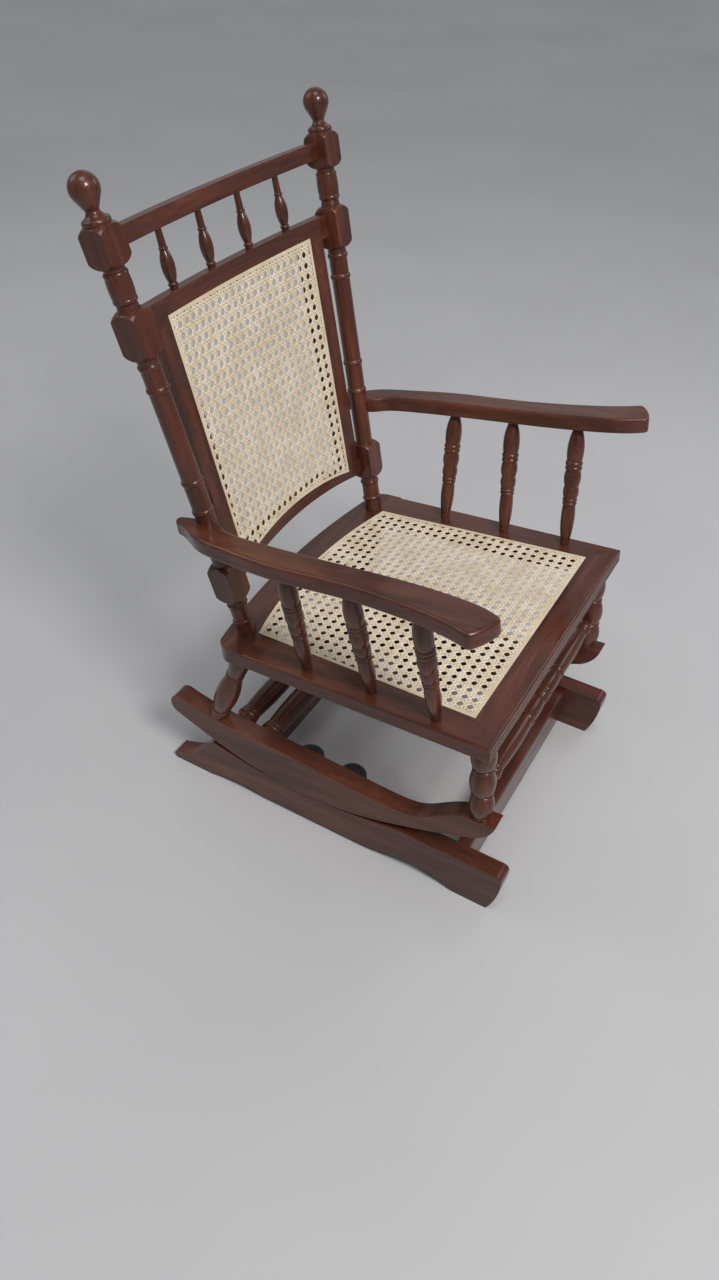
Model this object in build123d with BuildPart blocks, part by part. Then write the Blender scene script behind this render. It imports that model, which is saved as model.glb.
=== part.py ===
from build123d import *
import os
from math import cos, pi, sin, sqrt

# Platform rocking chair in millimetres: +Z up, -Y towards the sitter's feet, +X the sitter's left.

# Clearances
joint_clearance = 0.1
running_clearance = 0.05
roll_gap = 0.3
socket_relief = 0.5

# Rolling contact of each rocker in its dished base runner
roll_y = 40.0
cradle_floor_z = 64.0
cradle_radius = 712.0
rocker_centre_z = 537.0
rocker_radius = rocker_centre_z - cradle_floor_z - roll_gap
roll_half_span = 155.0
rocker_end_radius = 1500.0

# Base runners and rockers share one pair of upright planes
runner_inner_x = 201.5
runner_thick = 30.0
runner_mid_x = runner_inner_x + runner_thick / 2
base_top_z = 85.0
base_belly_z = 6.0
base_back = 301.0

# Seat frame
seat_centre_z = 344.7
seat_slope = 0.0808
seat_thick = 26.0
seat_front = -273.0
seat_front_half = 256.0
seat_rear_half = 245.3
seat_joint_y = 126.0
seat_rear_bow = 199.0
seat_plane = Plane(origin=(0, 0, seat_centre_z), x_dir=(1, 0, 0), z_dir=(0, seat_slope, 1))
seat_under = seat_plane.offset(-seat_thick)

# Caned openings of seat and back
cane_thick = 1.2
groove_wide = 5.2
groove_deep = 6.0
ledge_wide = 12.0
spline_proud = 0.4
net_hole = 15.0
seat_net = (12, 12)
back_net = (12, 13)
seat_cane_front = -231.0
seat_cane_rear = 133.0
seat_cane_bow = 25.0
seat_cane_front_half = 210.0
seat_cane_rear_half = 191.0

# Back posts
post_foot = Vector(192.4, 152.2, 332.0)
ball_centre = Vector(240.1, 295.8, 947.4)
ball_radius = 18.5
ball_taper_from = -28.75
ball_neck_below = 23.0
ball_neck_radius = 8.5
post_radius = 14.0
post_block = 37.0
post_tenon_radius = 10.0
post_tenon = 18.0
post_length = (ball_centre - post_foot).length
post_axis = (ball_centre - post_foot).normalized()
base_front = -(ball_centre.Y + ball_radius)

# Back frame, bowed to the rear between the posts
back_origin = Vector(0, 152.2, 332.0)
back_up = Vector(0, 0.2272, 0.9738).normalized()
back_rear = Vector(0, 0.9738, -0.2272).normalized()
back_plane = Plane(origin=back_origin, x_dir=(1, 0, 0), z_dir=back_rear * -1)
band_plane = Plane(origin=back_origin, x_dir=(1, 0, 0), z_dir=back_up)
bow_rise = 14.0
bow_half = 212.0
bow_radius = (bow_half**2 + bow_rise**2) / (2 * bow_rise)
frame_front = -2.0
frame_thick = 18.0
crest_low, crest_high, crest_half = 561.0, 583.0, 228.0
upper_low, upper_high, upper_half = 455.0, 487.0, 220.0
lower_low, lower_high, lower_half = 72.0, 100.0, 192.0
lower_arch = 20.0
stile_top_half, stile_bottom_half = 193.0, 177.0
back_cane_top, back_cane_top_half = 465.0, 165.5
back_cane_bottom, back_cane_bottom_half = 93.0, 149.0
back_cane_arch = 18.0
stile_tenon, stile_tenon_wide, stile_tenon_thick = 12.0, 14.0, 6.0
stile_tenon_places = ((168.0, upper_low), (157.0, lower_high))
gallery_places = (-128.0, -43.0, 43.0, 128.0)
gallery_tenon_radius = 4.0
gallery_tenon = 8.0

# Arms and their spindles
arm_centre_z = 555.1
arm_slope = 0.152
arm_thick = 24.0
arm_stretch = sqrt(1 + arm_slope**2)
arm_plane = Plane(origin=(0, 0, arm_centre_z), x_dir=(1, 0, 0), z_dir=(0, arm_slope, 1))
arm_under = arm_plane.offset(-arm_thick)
spindle_feet = ((222.0, 27.0), (225.0, -81.0), (234.0, -185.0))
spindle_heads = ((256.0, 40.0), (259.0, -58.0), (268.0, -161.0))
spindle_tenon_radius = 6.0
spindle_foot_tenon = 13.0
spindle_head_tenon = 16.0
peg_radius = 3.0
peg_start_x, peg_end_x = 233.8, 268.0
arm_screw_centre = Vector(206.4, 194.4, 511.8)
arm_screw_way = Vector(0.864, 0.504, 0).normalized()
arm_screw_radius, arm_screw_head_radius = 2.25, 4.0
arm_screw_tip, arm_screw_head, arm_screw_top = -8.0, 24.5, 27.5
arm_plug_radius, arm_plug_end = 4.5, 34.0

# Legs and stretchers
leg_tenon_radius = 8.0
leg_tenon = 13.0
front_leg_y = -262.0
rocker_flat_z = 187.0
rear_leg_top = Vector(runner_mid_x, 144.0, 305.0)
rear_leg_foot = Vector(runner_mid_x, 203.0, 149.0)
rear_leg_in_seat, rear_leg_in_rocker = 13.0, 18.0
rear_leg_rest = Plane(origin=(0, 203.0, 147.55), x_dir=(1, 0, 0), z_dir=(0, -0.1197, 1))
front_stretcher_rise = 57.0
front_stretcher_stout, rear_stretcher_stout = 13.0, 18.0
stretcher_tenon_radius = 6.0
front_stretcher_reach = 210.0
rear_stretcher_places = ((169.5, 131.0), (123.5, 120.0))
rear_stretcher_tenon = 16.0

# Base cross rails
front_rail_y, front_rail_thick = -246.0, 22.0
front_rail_low, front_rail_high = 5.0, 75.0
rear_rail_y, rear_rail_thick = 149.0, 22.0
rear_rail_low, rear_rail_high = 12.0, 46.0
rail_tenon_thick, rail_tenon_deep = 12.0, 18.0

# Springs
spring_x = runner_inner_x - 25.0
spring_places = (54.0, -26.0)
wire_radius = 2.0
coil_radius = 12.0
coil_turns = 5
coil_low, coil_high = 17.0, 92.0
spigot_radius, spigot_high = 7.5, 26.0
bracket_thick = 3.0
bracket_front, bracket_rear = -48.0, 76.0
lower_bracket_low, lower_bracket_high = 14.0, 52.0
upper_bracket_low, upper_bracket_high = 78.0, 112.0
dome_inner_radius, dome_wall = 22.0, 1.5
dome_skirt_z, dome_ceiling_z, dome_top_z = 68.0, 95.5, 100.0
screw_radius, screw_head_radius, screw_head_high, screw_deep = 2.0, 4.0, 2.2, 16.0
lower_screw_places = ((-8.0, 38.0), (36.0, 38.0))
upper_screw_places = ((14.0, 87.0), (14.0, 103.0))

# Seat dowels
dowel_radius, dowel_length = 4.0, 30.0
mitre_dowel_place = (236.0, -254.7)
mitre_way = Vector(seat_front_half - seat_cane_front_half, seat_front - seat_cane_front, 0).normalized()
rear_dowel_x = 232.0

os.makedirs("parts", exist_ok=True)


def save(builder, label):
    """Writes one finished piece under its own name."""
    builder.part.label = label
    export_step(builder.part, f"parts/{label}.step")


def save_pair(left, stem):
    """Writes a left piece and its mirror image on the right."""
    save(left, f"{stem}_left")
    with BuildPart() as right:
        mirror(left.part, about=Plane.YZ)
    save(right, f"{stem}_right")


def turn(start, way, rows, mode=Mode.ADD):
    """Turned solid from start along way; a row is (along, radius, bulge of the run up to it)."""
    side = way.cross(Vector(0, 1, 0)).normalized()
    with BuildSketch(Plane(origin=start, x_dir=way, z_dir=side)) as half_section:
        with BuildLine():
            for (s0, r0, _), (s1, r1, bulge) in zip(rows, rows[1:]):
                if bulge:
                    ThreePointArc((s0, r0), ((s0 + s1) / 2, (r0 + r1) / 2 + bulge), (s1, r1))
                else:
                    Line((s0, r0), (s1, r1))
            Polyline((rows[-1][0], rows[-1][1]), (rows[-1][0], 0), (rows[0][0], 0), (rows[0][0], rows[0][1]))
        make_face()
    revolve(half_section.sketch, axis=Axis(start, way), mode=mode)


def rod(start, way, begin, end, radius, mode=Mode.ADD):
    """Round rod between two distances along a line."""
    with BuildSketch(Plane(origin=start + way * begin, z_dir=way)) as section:
        Circle(radius)
    extrude(section.sketch, amount=end - begin, mode=mode)


def seat_point(x, y):
    """Point of the seat's top surface over a plan position."""
    return Vector(x, y, seat_centre_z - seat_slope * y)


def back_point(x, up, rear):
    """Point given across, up and to the rear of the back."""
    return back_origin + Vector(x, 0, 0) + back_up * up + back_rear * rear


def bow(x):
    """How far the back frame curves to the rear at a place across it."""
    return bow_rise - bow_radius + sqrt(bow_radius**2 - x**2)


def draw_band(half, front, thick):
    """Plan of a curved strip across the back."""
    rear = front + thick
    with BuildLine() as outline:
        ThreePointArc((-half, front + bow(half)), (0, front + bow_rise), (half, front + bow(half)))
        Line((half, front + bow(half)), (half, rear + bow(half)))
        ThreePointArc((half, rear + bow(half)), (0, rear + bow_rise), (-half, rear + bow(half)))
        Line((-half, rear + bow(half)), (-half, front + bow(half)))
    make_face(outline.edges())


def draw_seat_opening(inset, mode=Mode.ADD):
    """Outline of the seat's caned area, drawn in by an inset."""
    front = seat_cane_front + inset
    rear = seat_cane_rear - inset
    front_half = seat_cane_front_half - inset
    rear_half = seat_cane_rear_half - inset
    with BuildLine() as outline:
        Polyline((-rear_half, rear), (-front_half, front), (front_half, front), (rear_half, rear))
        ThreePointArc((rear_half, rear), (0, rear + seat_cane_bow), (-rear_half, rear))
    make_face(outline.edges(), mode=mode)


def draw_back_opening(inset, mode=Mode.ADD):
    """Outline of the back's caned area, drawn in by an inset."""
    top = back_cane_top - inset
    bottom = back_cane_bottom + inset
    top_half = back_cane_top_half - inset
    bottom_half = back_cane_bottom_half - inset
    with BuildLine() as outline:
        Polyline((-bottom_half, bottom), (-top_half, top), (top_half, top), (bottom_half, bottom))
        ThreePointArc((bottom_half, bottom), (0, bottom + back_cane_arch), (-bottom_half, bottom))
    make_face(outline.edges(), mode=mode)


def cut_seat_cane_seat():
    """Hole, ledge and spline groove of the caned seat, cut from a rail."""
    with BuildSketch(seat_plane) as hole:
        draw_seat_opening(ledge_wide)
    extrude(hole.sketch, amount=-seat_thick, mode=Mode.SUBTRACT)
    with BuildSketch(seat_plane) as ledge:
        draw_seat_opening(groove_wide)
    extrude(ledge.sketch, amount=-cane_thick, mode=Mode.SUBTRACT)
    with BuildSketch(seat_plane) as groove:
        draw_seat_opening(0)
        draw_seat_opening(groove_wide, Mode.SUBTRACT)
    extrude(groove.sketch, amount=-groove_deep, mode=Mode.SUBTRACT)


def net_places(columns, rows, edge):
    """Centres of a net's holes; edge gives half width and both ends at a share of the height."""
    places = []
    for row in range(rows):
        share = (row + 0.5) / rows
        for column in range(columns):
            across = (2 * column + 1) / columns - 1
            places.append(edge(share, across))
    return places


def seat_net_place(share, across):
    """Place on the seat, from its front edge to the bowed rear edge."""
    half = seat_cane_front_half + share * (seat_cane_rear_half - seat_cane_front_half) - ledge_wide
    front = seat_cane_front + ledge_wide
    rear = seat_cane_rear - ledge_wide + seat_cane_bow * (1 - across**2)
    return (across * half, front + share * (rear - front))


def back_net_place(share, across):
    """Place on the back, from its arched lower edge to the top edge."""
    half = back_cane_bottom_half + share * (back_cane_top_half - back_cane_bottom_half) - ledge_wide
    bottom = back_cane_bottom + ledge_wide + back_cane_arch * (1 - across**2)
    top = back_cane_top - ledge_wide
    return (across * half, bottom + share * (top - bottom))


# Base runner: dished top for the rocker, two feet flat on the floor
cradle_half = sqrt(cradle_radius**2 - (cradle_radius - base_top_z + cradle_floor_z) ** 2)
nose = 10.0
with BuildPart() as base_runner:
    with BuildSketch(Plane.YZ.offset(runner_inner_x)):
        with BuildLine():
            Line((-297, 0), (-237, 0))
            Spline((-237, 0), (-218, 12), (-190, 21), (-160, 22), (-120, 14), (-70, base_belly_z))
            Line((-70, base_belly_z), (118, base_belly_z))
            ThreePointArc((118, base_belly_z), (172, 11), (222, 0))
            Line((222, 0), (295, 0))
            ThreePointArc((295, 0), (base_back, 6), (299, 14))
            Spline((299, 14), (277, 22), (254, 34), (240, 48), (228, 68), (roll_y + cradle_half, base_top_z))
            ThreePointArc(
                (roll_y + cradle_half, base_top_z),
                (roll_y, cradle_floor_z),
                (roll_y - cradle_half, base_top_z),
            )
            Line((roll_y - cradle_half, base_top_z), (base_front + nose, base_top_z))
            TangentArc(
                (base_front + nose, base_top_z), (base_front, base_top_z - nose), tangent=(-1, 0)
            )
            TangentArc((base_front, base_top_z - nose), (-297, 0), tangent=(0, -1))
        make_face()
    extrude(amount=runner_thick)
    for rail_y, rail_thick, low, high in (
        (front_rail_y, front_rail_thick, front_rail_low, front_rail_high),
        (rear_rail_y, rear_rail_thick, rear_rail_low, rear_rail_high),
    ):
        with BuildSketch(Plane.YZ.offset(runner_inner_x)):
            with Locations((rail_y + rail_thick / 2, (low + high) / 2)):
                Rectangle(rail_tenon_thick + 2 * joint_clearance, (high - low) * 0.6 + 2 * joint_clearance)
        extrude(amount=rail_tenon_deep + socket_relief, mode=Mode.SUBTRACT)
    for y, z in lower_screw_places:
        rod(Vector(runner_inner_x, y, z), Vector(1, 0, 0), 0, screw_deep + 1,
            screw_radius + joint_clearance, Mode.SUBTRACT)
save_pair(base_runner, "base_runner")

# Base cross rails with a tenon at each end
for label, rail_y, rail_thick, low, high in (
    ("base_front_rail", front_rail_y, front_rail_thick, front_rail_low, front_rail_high),
    ("base_rear_rail", rear_rail_y, rear_rail_thick, rear_rail_low, rear_rail_high),
):
    rail_centre = (0, rail_y + rail_thick / 2, (low + high) / 2)
    with BuildPart() as base_rail:
        with Locations(rail_centre):
            Box(2 * runner_inner_x, rail_thick, high - low)
        fillet(base_rail.edges().filter_by(Axis.X), 3)
        with Locations(rail_centre):
            Box(2 * (runner_inner_x + rail_tenon_deep), rail_tenon_thick, (high - low) * 0.6)
    save(base_rail, label)


def rocker_end(way, y):
    """Point of the rocker's flatter end arc, tangent to the rolling arc."""
    joint_y = roll_y + way * roll_half_span
    joint_z = rocker_centre_z - sqrt(rocker_radius**2 - roll_half_span**2)
    scale = rocker_end_radius / rocker_radius
    centre_y = joint_y + (roll_y - joint_y) * scale
    centre_z = joint_z + (rocker_centre_z - joint_z) * scale
    return (y, centre_z - sqrt(rocker_end_radius**2 - (y - centre_y) ** 2))


def flat_z(y):
    """Height of the rocker's flat under the front leg."""
    return rocker_flat_z - seat_slope * (y - front_leg_y)


seat_normal = seat_plane.z_dir
rear_leg_way = (rear_leg_foot - rear_leg_top).normalized()
rear_leg_length = (rear_leg_foot - rear_leg_top).length
front_leg_foot = Vector(runner_mid_x, front_leg_y, rocker_flat_z)
front_leg_length = (seat_under.origin - front_leg_foot).dot(seat_normal)

# Rocker: rolling arc below, flat for the front leg, slim waist, round tail
prow, tail = -262.0, 281.0
front_joint = rocker_end(-1, roll_y - roll_half_span)
rear_joint = rocker_end(1, roll_y + roll_half_span)
slant = roll_half_span / rocker_radius
with BuildPart() as rocker:
    with BuildSketch(Plane.YZ.offset(runner_inner_x)):
        with BuildLine():
            ThreePointArc(front_joint, (roll_y, rocker_centre_z - rocker_radius), rear_joint)
            TangentArc(rear_joint, rocker_end(1, tail), tangent=(sqrt(1 - slant**2), slant))
            ThreePointArc(rocker_end(1, tail), (292, 141), (270, 161))
            Spline(
                (270, 161), (192, 146), (110, 142), (0, 137), (-110, 131), (-165, 137), (-205, 165),
                (-238, flat_z(-238)),
            )
            Line((-238, flat_z(-238)), (-290, flat_z(-290)))
            ThreePointArc((-290, flat_z(-290)), (-279, 166), rocker_end(-1, prow))
            TangentArc(front_joint, rocker_end(-1, prow), tangent=(-sqrt(1 - slant**2), slant))
        make_face()
    extrude(amount=runner_thick)
    rod(front_leg_foot, seat_normal, -leg_tenon - socket_relief, 5,
        leg_tenon_radius + joint_clearance, Mode.SUBTRACT)
    rod(rear_leg_foot, rear_leg_way, -20, rear_leg_in_rocker + socket_relief,
        leg_tenon_radius + joint_clearance, Mode.SUBTRACT)
    for y, z in rear_stretcher_places:
        rod(Vector(runner_inner_x, y, z), Vector(1, 0, 0), 0, rear_stretcher_tenon + socket_relief,
            stretcher_tenon_radius + joint_clearance, Mode.SUBTRACT)
    for y, z in upper_screw_places:
        rod(Vector(runner_inner_x, y, z), Vector(1, 0, 0), 0, screw_deep + 1,
            screw_radius + joint_clearance, Mode.SUBTRACT)
save_pair(rocker, "rocker")

# Front leg: three bulbs parted by rings
with BuildPart() as front_leg:
    turn(front_leg_foot, seat_normal, (
        (-leg_tenon, leg_tenon_radius, 0), (0, leg_tenon_radius, 0), (0, 13.5, 0), (6, 13.5, 0),
        (44, 14.5, 4.5), (50, 14.5, 1.8), (94, 14, 4.8), (100, 14, 1.8), (144, 13.5, 4.8),
        (front_leg_length, 11.5, 0), (front_leg_length, leg_tenon_radius, 0),
        (front_leg_length + leg_tenon, leg_tenon_radius, 0),
    ))
    stretcher_end = front_leg_foot + seat_normal * front_stretcher_rise
    rod(stretcher_end, Vector(-1, 0, 0), runner_mid_x - front_stretcher_reach - socket_relief, 30,
        stretcher_tenon_radius + joint_clearance, Mode.SUBTRACT)
save_pair(front_leg, "front_leg")

# Rear leg: raked baluster, shouldered to the seat above and the rocker below
with BuildPart() as rear_leg:
    turn(rear_leg_top, rear_leg_way, (
        (-16, 16.5, 0), (14, 16.5, 0), (50, 13.5, 0.8), (56, 13, 1.6), (62, 12.5, 1.6), (148, 14.5, 5.6),
        (155, 14.5, 1.6), (rear_leg_length + 16, 14.5, 0.6),
    ))
    split(bisect_by=seat_under.offset(-running_clearance), keep=Keep.BOTTOM)
    split(bisect_by=rear_leg_rest, keep=Keep.TOP)
    rod(rear_leg_top, rear_leg_way, -rear_leg_in_seat, 12, leg_tenon_radius)
    rod(rear_leg_top, rear_leg_way, 140, rear_leg_length + rear_leg_in_rocker, leg_tenon_radius)
save_pair(rear_leg, "rear_leg")

# Stretchers: tapered turnings with a bead group in the middle and at both ends


def stretcher_rows(half, tenon_end, stout):
    """Left half and its mirror image of one stretcher's turning."""
    slim, waist = stout - 3, stout - 2
    rows = [
        (-tenon_end, stretcher_tenon_radius, 0), (-half, stretcher_tenon_radius, 0), (-half, slim, 0),
        (-half + 10, slim, 0), (-half + 20, slim, 3), (-half + 26, slim, 1.8), (-64, stout - 1, 2),
        (-56, waist, 2), (-12, waist, 2), (-6, waist, 1.8),
    ]
    other = [(6, waist, 2), (12, waist, 1.8), (56, waist, 2), (64, stout - 1, 2), (half - 26, slim, 2),
             (half - 20, slim, 1.8), (half - 10, slim, 3), (half, slim, 0), (half, stretcher_tenon_radius, 0),
             (tenon_end, stretcher_tenon_radius, 0)]
    return rows + other


with BuildPart() as front_stretcher:
    turn(Vector(0, stretcher_end.Y, stretcher_end.Z), Vector(1, 0, 0),
         stretcher_rows(runner_mid_x - 19.5, front_stretcher_reach, front_stretcher_stout))
save(front_stretcher, "front_stretcher")

for number, (y, z) in enumerate(rear_stretcher_places, 1):
    with BuildPart() as rear_stretcher:
        turn(Vector(0, y, z), Vector(1, 0, 0),
             stretcher_rows(runner_inner_x, runner_inner_x + rear_stretcher_tenon, rear_stretcher_stout))
    save(rear_stretcher, f"rear_stretcher_{number}")

# Seat rails, mitred in front and butted under the posts
mitre_inner = (seat_cane_front_half - mitre_way.X * 24, seat_cane_front - mitre_way.Y * 24)


def spindle_line(foot, head):
    """Foot on the seat, direction and length up to the middle of the arm's thickness."""
    start = seat_point(*foot)
    middle = Vector(head[0], head[1], arm_centre_z - arm_slope * head[1] - arm_thick / 2 * arm_stretch)
    return start, (middle - start).normalized(), (middle - start).length


def seat_dowel_lines():
    """Middle and direction of the two dowels on the left: across the mitre and across the rear joint."""
    core = seat_plane.offset(-seat_thick / 2)
    corner = core.from_local_coords(Vector(*mitre_dowel_place, 0))
    square = (core.from_local_coords(Vector(-mitre_way.Y, mitre_way.X, 0)) - core.origin).normalized()
    rear = core.from_local_coords(Vector(rear_dowel_x, seat_joint_y, 0))
    return ((corner, square), (rear, seat_plane.y_dir))


def cut_seat_dowels():
    """Dowel holes of the seat's corner joints on the left."""
    reach = dowel_length / 2 + socket_relief
    for middle, way in seat_dowel_lines():
        rod(middle, way, -reach, reach, dowel_radius + joint_clearance, Mode.SUBTRACT)


with BuildPart() as seat_front_rail:
    with BuildSketch(seat_plane):
        Polygon(
            (-seat_front_half, seat_front), (seat_front_half, seat_front), mitre_inner,
            (-mitre_inner[0], mitre_inner[1]), align=None,
        )
    extrude(amount=-seat_thick)
    fillet(seat_front_rail.edges().filter_by(Axis.X).sort_by(Axis.Y)[:2], 4)
    front_edge = seat_plane.from_local_coords(Vector(0, seat_front, 0))
    with BuildSketch(Plane(origin=front_edge, x_dir=seat_plane.y_dir, z_dir=(1, 0, 0))):
        with Locations((0, -9), (0, -18)):
            Circle(2.2)
    extrude(amount=seat_front_half, both=True, mode=Mode.SUBTRACT)
    cut_seat_cane_seat()
    for side in (1, -1):
        leg_spot = Vector(side * front_leg_foot.X, front_leg_foot.Y, front_leg_foot.Z)
        rod(leg_spot, seat_normal, front_leg_length - 5, front_leg_length + leg_tenon + socket_relief,
            leg_tenon_radius + joint_clearance, Mode.SUBTRACT)
    cut_seat_dowels()
    mirror(about=Plane.YZ, mode=Mode.INTERSECT)
save(seat_front_rail, "seat_front_rail")

with BuildPart() as seat_side_rail:
    with BuildSketch(seat_plane):
        Polygon(
            (seat_front_half, seat_front), (seat_rear_half, seat_joint_y), (175, seat_joint_y), mitre_inner,
            align=None,
        )
    extrude(amount=-seat_thick)
    side_front = seat_plane.from_local_coords(Vector(seat_front_half, seat_front, 0))
    side_rear = seat_plane.from_local_coords(Vector(seat_rear_half, seat_joint_y, 0))
    fillet(seat_side_rail.edges().filter_by(Axis((0, 0, 0), side_front - side_rear)), 4)
    cut_seat_cane_seat()
    for foot, head in zip(spindle_feet, spindle_heads):
        start, way, length = spindle_line(foot, head)
        rod(start, way, -spindle_foot_tenon - socket_relief, 10,
            spindle_tenon_radius + joint_clearance, Mode.SUBTRACT)
    cut_seat_dowels()
save_pair(seat_side_rail, "seat_side_rail")

with BuildPart() as seat_rear_rail:
    with BuildSketch(seat_plane):
        with BuildLine():
            Line((-seat_rear_half, seat_joint_y), (seat_rear_half, seat_joint_y))
            Line((seat_rear_half, seat_joint_y), (244.5, 150))
            ThreePointArc((244.5, 150), (240, 166), (228, 176))
            ThreePointArc((228, 176), (0, seat_rear_bow), (-228, 176))
            ThreePointArc((-228, 176), (-240, 166), (-244.5, 150))
            Line((-244.5, 150), (-seat_rear_half, seat_joint_y))
        make_face()
    extrude(amount=-seat_thick)
    cut_seat_cane_seat()
    rod(post_foot, post_axis, -post_tenon - socket_relief, 20,
        post_tenon_radius + joint_clearance, Mode.SUBTRACT)
    rod(rear_leg_top, rear_leg_way, -rear_leg_in_seat - socket_relief, 20,
        leg_tenon_radius + joint_clearance, Mode.SUBTRACT)
    cut_seat_dowels()
    mirror(about=Plane.YZ, mode=Mode.INTERSECT)
save(seat_rear_rail, "seat_rear_rail")

with BuildPart() as seat_dowels:
    for middle, way in seat_dowel_lines():
        rod(middle, way, -dowel_length / 2, dowel_length / 2, dowel_radius)
    mirror(about=Plane.YZ)
save(seat_dowels, "seat_dowels")

# Seat cane: one holed sheet on the ledge, wedged by a spline
with BuildPart() as seat_cane:
    with BuildSketch(seat_plane):
        draw_seat_opening(groove_wide + joint_clearance)
        with Locations(*net_places(*seat_net, seat_net_place)):
            Rectangle(net_hole, net_hole, mode=Mode.SUBTRACT)
    extrude(amount=-cane_thick)
save(seat_cane, "seat_cane")

with BuildPart() as seat_cane_spline:
    with BuildSketch(seat_plane.offset(spline_proud)):
        draw_seat_opening(joint_clearance)
        draw_seat_opening(groove_wide - joint_clearance, Mode.SUBTRACT)
    extrude(amount=-groove_deep - spline_proud + joint_clearance)
save(seat_cane_spline, "seat_cane_spline")

# Back posts: square blocks between turned lengths, egg-shaped ball on top
blocks = ((63.8, 123.6), (436.6, 495.3), (547.8, 595.2))


def post_plane(along):
    """Plane square to the post, turned to face the sitter."""
    across = Vector(1, 0, 0) - post_axis * post_axis.X
    return Plane(origin=post_foot + post_axis * along, x_dir=across, z_dir=post_axis)


def post_mortise(low, high, half):
    """Mortise of one back rail in the post."""
    with BuildSketch(band_plane.offset(low - joint_clearance)) as strip:
        draw_band(half + socket_relief, frame_front - joint_clearance, frame_thick + 2 * joint_clearance)
    extrude(strip.sketch, amount=high - low + 2 * joint_clearance, mode=Mode.SUBTRACT)


envelope = [(-30, 17, 0)]
for begin, end in blocks:
    envelope += [(begin, 17, 0), (begin + 9, 26.5, 1.5), (end - 9, 26.5, 0), (end, 17, 1.5)]
envelope.append((post_length, 17, 0))

ball_side = post_plane(post_length).x_dir
ball_plane = Plane(origin=ball_centre, x_dir=ball_side, z_dir=ball_side.cross(post_axis))

with BuildPart() as back_post:
    for begin, end in blocks:
        with BuildSketch(post_plane(begin)):
            Rectangle(post_block, post_block)
        extrude(amount=end - begin)
    turn(post_foot, post_axis, envelope, Mode.INTERSECT)
    turn(post_foot, post_axis, (
        (-8, post_radius, 0), (20, post_radius, 0), (27, post_radius, 1.8), (50, post_radius, 0),
        (57, post_radius, 1.8), (130, post_radius, 0), (210, post_radius, 0), (218, post_radius, 1.8),
        (256, post_radius, 0), (264, post_radius, 1.8), (390, post_radius, 0), (398, post_radius, 1.8),
        (421, post_radius, 0), (429, post_radius, 1.8), (498, post_radius, 0), (504, 13, 0),
        (510, 15, 1.5), (537, 15, 0.8), (543, 13, 1.5), (548, post_radius, 0), (590, post_radius, 0),
        (595, 16.5, 0), (602, 15.5, 1.6), (609, ball_neck_radius, -1.6), (post_length, ball_neck_radius, 0),
    ))
    with BuildSketch(ball_plane) as ball_half:
        with BuildLine():
            ball_arc = CenterArc((0, 0), ball_radius, ball_taper_from, 90 - ball_taper_from)
            Polyline(ball_arc @ 0, (ball_neck_radius, -ball_neck_below), (0, -ball_neck_below), ball_arc @ 1)
        make_face()
    revolve(ball_half.sketch, axis=Axis(ball_centre, post_axis))
    split(bisect_by=seat_plane.offset(running_clearance), keep=Keep.TOP)
    rod(post_foot, post_axis, -post_tenon, 10, post_tenon_radius)
    post_mortise(crest_low, crest_high, crest_half)
    post_mortise(upper_low, upper_high, upper_half)
    post_mortise(lower_low, lower_high, lower_half)
    rod(arm_screw_centre, arm_screw_way, arm_screw_tip - socket_relief, 30,
        arm_screw_radius + joint_clearance, Mode.SUBTRACT)
save_pair(back_post, "back_post")


def frame_member(draw_outline, half):
    """Curved member: a bowed strip trimmed to an outline seen from the front."""
    with BuildSketch(band_plane) as strip:
        draw_band(half, frame_front, frame_thick)
    extrude(strip.sketch, amount=crest_high)
    with BuildSketch(back_plane) as seen:
        draw_outline()
    extrude(seen.sketch, amount=through, both=True, mode=Mode.INTERSECT)


# Cutters for the caned back: the ledge under the cane and the groove of its spline
through = 60.0
with BuildPart() as back_ledge_cutter:
    with BuildSketch(band_plane):
        draw_band(bow_half, frame_front - frame_thick, frame_thick + cane_thick)
    extrude(amount=crest_low)
    with BuildSketch(back_plane):
        draw_back_opening(groove_wide)
    extrude(amount=through, both=True, mode=Mode.INTERSECT)

with BuildPart() as back_groove_cutter:
    with BuildSketch(band_plane):
        draw_band(bow_half, frame_front - frame_thick, frame_thick + groove_deep)
    extrude(amount=crest_low)
    with BuildSketch(back_plane):
        draw_back_opening(0)
        draw_back_opening(groove_wide, Mode.SUBTRACT)
    extrude(amount=through, both=True, mode=Mode.INTERSECT)


def cut_back_cane_seat():
    """Hole, ledge and spline groove of the caned back, cut from a member."""
    with BuildSketch(back_plane) as hole:
        draw_back_opening(ledge_wide)
    extrude(hole.sketch, amount=through, both=True, mode=Mode.SUBTRACT)
    add(back_ledge_cutter.part, mode=Mode.SUBTRACT)
    add(back_groove_cutter.part, mode=Mode.SUBTRACT)


def stile_tenon_spot(side, x, up):
    """Frame in the middle of one stile tenon, at its shoulder."""
    middle = back_point(side * x, up, frame_front + frame_thick / 2 + bow(x) + 1)
    return Location(Plane(origin=middle, x_dir=(1, 0, 0), z_dir=back_up))


def cut_stile_mortises():
    """Mortises for the tenons of both stiles."""
    grow = 2 * joint_clearance
    for x, up in stile_tenon_places:
        with Locations(stile_tenon_spot(1, x, up), stile_tenon_spot(-1, x, up)):
            Box(stile_tenon_wide + grow, stile_tenon_thick + grow, 2 * stile_tenon + grow, mode=Mode.SUBTRACT)


def cut_gallery_holes(up, way):
    """Holes for the gallery spindles' tenons."""
    for x in gallery_places:
        start = back_point(x, up, frame_front + frame_thick / 2 + bow(x))
        rod(start, back_up * way, -5, gallery_tenon + socket_relief, gallery_tenon_radius + joint_clearance,
            Mode.SUBTRACT)


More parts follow.
